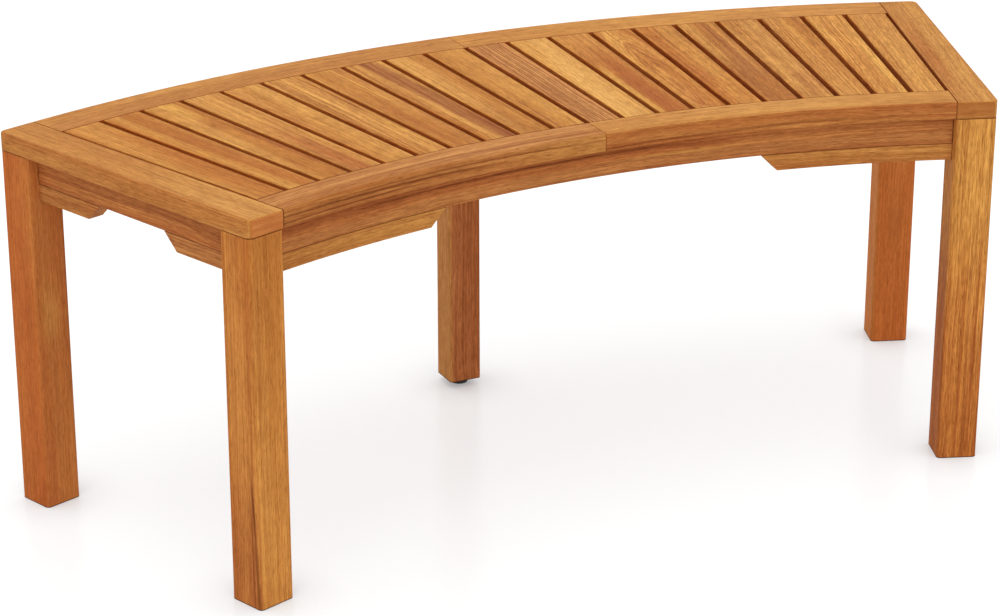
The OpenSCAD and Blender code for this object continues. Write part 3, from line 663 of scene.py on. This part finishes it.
for side, name in ((-1, "left"), (1, "right")):
    bearing = side * HALF
    look = dict(END_LOOKS[name], pith=(0.0, 0.05, -0.03))
    # The end board's inner face, beside the gap at the last slat, gets painted shade, darker and
    # redder
    look["streaks"] = look["streaks"] + [face_tint("deep", 0.9, -END_FACE, 0.8)]
    dress_wood("end_board_" + name,
               radial_board(bearing, side, (END_Y, END_W / 2, RAIL_Z), end_board_seams,
                            wrapped=True), END_SEEDS[name], look)
    dress_wood("end_apron_" + name,
               radial_board(bearing, side, (END_Y, END_APRON_MID, APRON_MID_Z), end_apron_seams),
               END_SEEDS[name] + END_APRON_SEED_STEP, END_APRON_LOOK)
    for way, y in END_BRACE_Y.items():
        dress_wood("end_brace_%s_%s" % (way, name),
                   radial_board(bearing, side, (y, END_APRON_MID, BRACE_MID_Z), end_brace_seams),
                   END_SEEDS[name] + END_BRACE_SEED_STEP[way], END_BRACE_LOOK)

# Legs. Across runs outward and through runs back, both from the leg's middle.
LEG_FACE = LEG_W / 2 / MM
MID_LEG_FACE = MID_LEG_W / 2 / MM
LEG_LOOKS = {
    "front_leg_left": dict(tone="amber", bands=0.30, lines=0.46, fibre=0.8, streaks=[
        # Painted light and shade: the gold tint lightens the front face, the light red one darkens
        # the outer face
        face_tint("gold", 0.15, -LEG_FACE, axis="through"), face_tint("red", 0.15, LEG_FACE),
        face_tint("red", 0.7, LEG_FACE, stop=-90, fade=160),
        streak("dark", 1.0, -13.2, 1.8, -FAR, -60, axis="through", drift=0.045),
        streak("dark", 0.7, -10, 1.2, -FAR, -90, axis="through", drift=0.03)]),
    "front_leg_right": dict(tone="amber", bands=0.36, lines=0.70, fibre=1.5, streaks=[
        streak("heart", 0.5, -2, 1.0, -FAR, 20, 90), streak("heart", 0.5, 5, 1.2, -FAR, 60, 90),
        streak("red", 0.35, 16, 9, -FAR, -40, 90), streak("gold", 0.45, 0, 60, 60, FAR, 160),
        # The red tint of the inner face, at this line's end, is painted shade
        streak("red", 0.2, 0, 60, -FAR, -60, 160), face_tint("red", 0.25, -LEG_FACE)]),
    "back_leg_left": dict(tone="ember", bands=0.22, lines=0.24, mottle=0.2, fibre=0.7, streaks=[
        streak("gold", 0.35, 4, 12, 0, 60, 50),
        # Painted light: the tan tint lightens the front face
        face_tint("tan", 0.25, -LEG_FACE, axis="through")]),
    "back_leg_right": dict(tone="coral", bands=0.24, lines=0.24, mottle=0.2, fibre=0.7, streaks=[
        streak("gold", 0.35, 10, 6, 40, 120, 50), streak("red", 0.4, 0, 10, -70, -20, 40),
        # Painted light: the tan tint lightens the front face and the gold one the inner face
        face_tint("tan", 0.15, -LEG_FACE, axis="through"), face_tint("gold", 0.25, -LEG_FACE)]),
}
# At a leg's top the line is a dark joint with painted shade under the end board; at its foot it is
# painted contact shade where the leg stands on the floor
leg_seams = [("z", UNDER_Z, HAIR, 1.0), ("z", 0.0, FOOT_SHADE_LINE, 1.0)]
for i, (name, look) in enumerate(LEG_LOOKS.items()):
    side = -1 if name.endswith("left") else 1
    y = FRONT_LEG_Y if name.startswith("front") else BACK_LEG_Y
    dress_wood(name, upright(side * HALF, side, (LEG_MID_Z, LEG_W / 2, y + LEG_W / 2), leg_seams),
               LEG_SEED + LEG_SEED_STEP * i, look)
# The middle leg's line at its lower end is painted contact shade where it meets the foot
dress_wood("middle_leg",
           upright(0.0, 1, (LEG_MID_Z, 0.0, MID_LEG_Y + MID_LEG_W / 2),
                   [("z", MID_LEG_Z, FOOT_SHADE_LINE, 1.0)]),
           MIDDLE_LEG_SEED,
           dict(tone="rose", bands=0.30, lines=0.45, pith=(0.0, 0.3, -0.05), streaks=[
               # Painted light: the tan and gold tints lighten the left face
               face_tint("tan", 0.35, -MID_LEG_FACE), face_tint("gold", 0.25, -MID_LEG_FACE),
               streak("heart", 0.5, -1, 1.5)]))

# Under the seat
dress_wood("centre_stretcher", radial_board(0.0, 1, STRETCHER_MID), STRETCHER_SEED,
           dict(tone="brown"))
dress_wood("dowels", radial_board(0.0, 1, STRETCHER_MID), DOWEL_SEED,
           dict(tone="pale", bands=0.1, lines=0.2))


SPECKS_PER_CLOUD = 9


def plain_material(name, base, worn, roughness, metallic, grain, bump):
    """Metal or plastic, with a fine cloudy finish and a slightly worn colour in places.

    grain is the number of its clouds per metre.
    """
    material = bpy.data.materials.new(name)
    g = empty_graph(material)
    x, y, z = g.split(g.node("ShaderNodeTexCoord").outputs["Object"])

    def scaled(k):
        return g.vec(g.mul(x, k), g.mul(y, k), g.mul(z, k))
    cloud = g.noise(scaled(grain), detail=3.0)
    speck = g.noise(scaled(grain * SPECKS_PER_CLOUD))
    colour = g.mix(g.step(cloud, 0.35, 0.75), base, worn)
    rough = g.add(roughness - 0.08, g.mul(speck, 0.16))
    bumped = g.node("ShaderNodeBump", {
        "Strength": bump, "Distance": 0.2 * MM, "Height": speck}).outputs[0]
    shader = g.node("ShaderNodeBsdfPrincipled", {
        "Base Color": colour, "Roughness": rough, "Metallic": metallic, "Normal": bumped})
    g.node("ShaderNodeOutputMaterial", {"Surface": shader.outputs[0]})
    return material


zinc = plain_material("zinc_plated_steel", srgb(196, 197, 200), srgb(168, 168, 170),
                      roughness=0.34, metallic=1.0, grain=220.0, bump=0.1)
black_steel = plain_material("blackened_steel", srgb(52, 52, 54), srgb(38, 37, 38),
                             roughness=0.40, metallic=1.0, grain=260.0, bump=0.1)
plastic = plain_material("black_plastic_moulded", srgb(26, 26, 27), srgb(36, 36, 37),
                         roughness=0.52, metallic=0.0, grain=400.0, bump=0.25)
for name in ("leg_bolt_washers", "apron_inserts", "rail_screws", "slat_screws", "ledger_screws",
             "foot_insert", "foot_stem"):
    dress(name, zinc)
dress("leg_bolts", black_steel)
dress("foot_pad", plastic)

scene = bpy.context.scene
scene.view_settings.view_transform = "Standard"
WHITE = (1.0, 1.0, 1.0, 1.0)


def seen_directly(g):
    """1 for rays from the camera and in reflections, 0 for those that light the bench."""
    path = g.node("ShaderNodeLightPath").outputs
    seen = g.math("MAXIMUM", path["Is Camera Ray"], path["Is Glossy Ray"])
    return g.math("MAXIMUM", seen, path["Is Transmission Ray"])


# The floor reaches this far to each side
FLOOR_HALF = 30.0
# It lies this far under the feet, so that they don't share a plane
FLOOR_DROP = 0.0003
FLOOR_GLOW = 0.575
# Contact shadows: how far they reach, and how much of the glow they take away
CONTACT_REACH = 0.07
CONTACT_SHARE = 0.6
floor_mesh = bpy.data.meshes.new("floor")
floor_mesh.from_pydata([(FLOOR_HALF * x, FLOOR_HALF * y, 0)
                        for x, y in ((-1, -1), (1, -1), (1, 1), (-1, 1))], [], [(0, 1, 2, 3)])
floor = bpy.data.objects.new("floor", floor_mesh)
floor.location.z = -FLOOR_DROP
scene.collection.objects.link(floor)
floor_material = bpy.data.materials.new("pale_floor")
g = empty_graph(floor_material)
lit = g.node("ShaderNodeBsdfDiffuse", {"Color": (0.80, 0.80, 0.80, 1.0)}).outputs[0]
# To the camera the floor is mostly white by itself, and shows the bench's shadow and reflection
shown = g.node("ShaderNodeBsdfPrincipled", {
    "Base Color": (0.48, 0.50, 0.51, 1.0), "Roughness": 0.2,
    "Specular IOR Level": 0.12}).outputs[0]
open_sky = g.node("ShaderNodeAmbientOcclusion", {"Distance": CONTACT_REACH}, samples=16)
unshaded = g.add(1.0 - CONTACT_SHARE, g.mul(open_sky.outputs["AO"], CONTACT_SHARE))
white = g.node("ShaderNodeEmission", {
    "Color": WHITE, "Strength": g.mul(FLOOR_GLOW, unshaded)}).outputs[0]
bright = g.node("ShaderNodeAddShader", {0: shown, 1: white}).outputs[0]
both = g.node("ShaderNodeMixShader", {"Fac": seen_directly(g), 1: lit, 2: bright}).outputs[0]
# From below the floor is clear
clear = g.node("ShaderNodeBsdfTransparent").outputs[0]
back = g.node("ShaderNodeNewGeometry").outputs["Backfacing"]
surface = g.node("ShaderNodeMixShader", {"Fac": back, 1: both, 2: clear}).outputs[0]
g.node("ShaderNodeOutputMaterial", {"Surface": surface})
floor_mesh.materials.append(floor_material)

SKY_STRENGTH = 0.76
BACKDROP_STRENGTH = 1.0
world = bpy.data.worlds.new("studio")
g = empty_graph(world)
sky, backdrop = (g.node("ShaderNodeBackground", {"Color": WHITE, "Strength": strength}).outputs[0]
                 for strength in (SKY_STRENGTH, BACKDROP_STRENGTH))
surface = g.node("ShaderNodeMixShader", {"Fac": seen_directly(g), 1: sky, 2: backdrop}).outputs[0]
g.node("ShaderNodeOutputWorld", {"Surface": surface})
scene.world = world


def soft_light(name, towards, top_share, angle, colour):
    """A far, wide soft box. It adds top_share to the light on a level face."""
    lamp = bpy.data.lights.new(name, "SUN")
    direction = Vector(towards).normalized()
    lamp.energy = math.pi * top_share / -direction.z
    lamp.angle = math.radians(angle)
    lamp.color = colour
    made = bpy.data.objects.new(name, lamp)
    made.rotation_euler = direction.to_track_quat("-Z", "Y").to_euler()
    scene.collection.objects.link(made)


soft_light("key_from_above", (0.10, 0.02, -0.99), 0.18, 40, (1.0, 0.99, 0.97))
soft_light("fill_from_front_left", (0.30, 0.66, -0.69), 0.09, 60, (1.0, 1.0, 1.0))

# The camera, as fitted to the photograph, with its angles in radians
FOCAL_PX = 3001.67
FRAME_PX = 1000
SENSOR_MM = 36.0
CLIP_END = 100.0
YAW, PITCH_DOWN, ROLL = 0.45026, 0.37911, -0.00051
# Its place as seen from the arc's centre
CAMERA_AT = (-1.49067, -1.59707, 1.50791)
camera_data = bpy.data.cameras.new("camera")
camera_data.sensor_width = SENSOR_MM
camera_data.lens = SENSOR_MM * FOCAL_PX / FRAME_PX
camera_data.clip_end = CLIP_END
camera = bpy.data.objects.new("camera", camera_data)
forward = Vector((math.sin(YAW) * math.cos(PITCH_DOWN), math.cos(YAW) * math.cos(PITCH_DOWN),
                  -math.sin(PITCH_DOWN)))
level = Vector((math.cos(YAW), -math.sin(YAW), 0.0))
upward = level.cross(forward)
right = math.cos(ROLL) * level + math.sin(ROLL) * upward
up = -math.sin(ROLL) * level + math.cos(ROLL) * upward
camera.matrix_world = Matrix((
    (right.x, up.x, -forward.x, CAMERA_AT[0]),
    (right.y, up.y, -forward.y, CAMERA_AT[1] - CENTRE_Y),
    (right.z, up.z, -forward.z, CAMERA_AT[2]),
    (0, 0, 0, 1)))
scene.collection.objects.link(camera)
scene.camera = camera
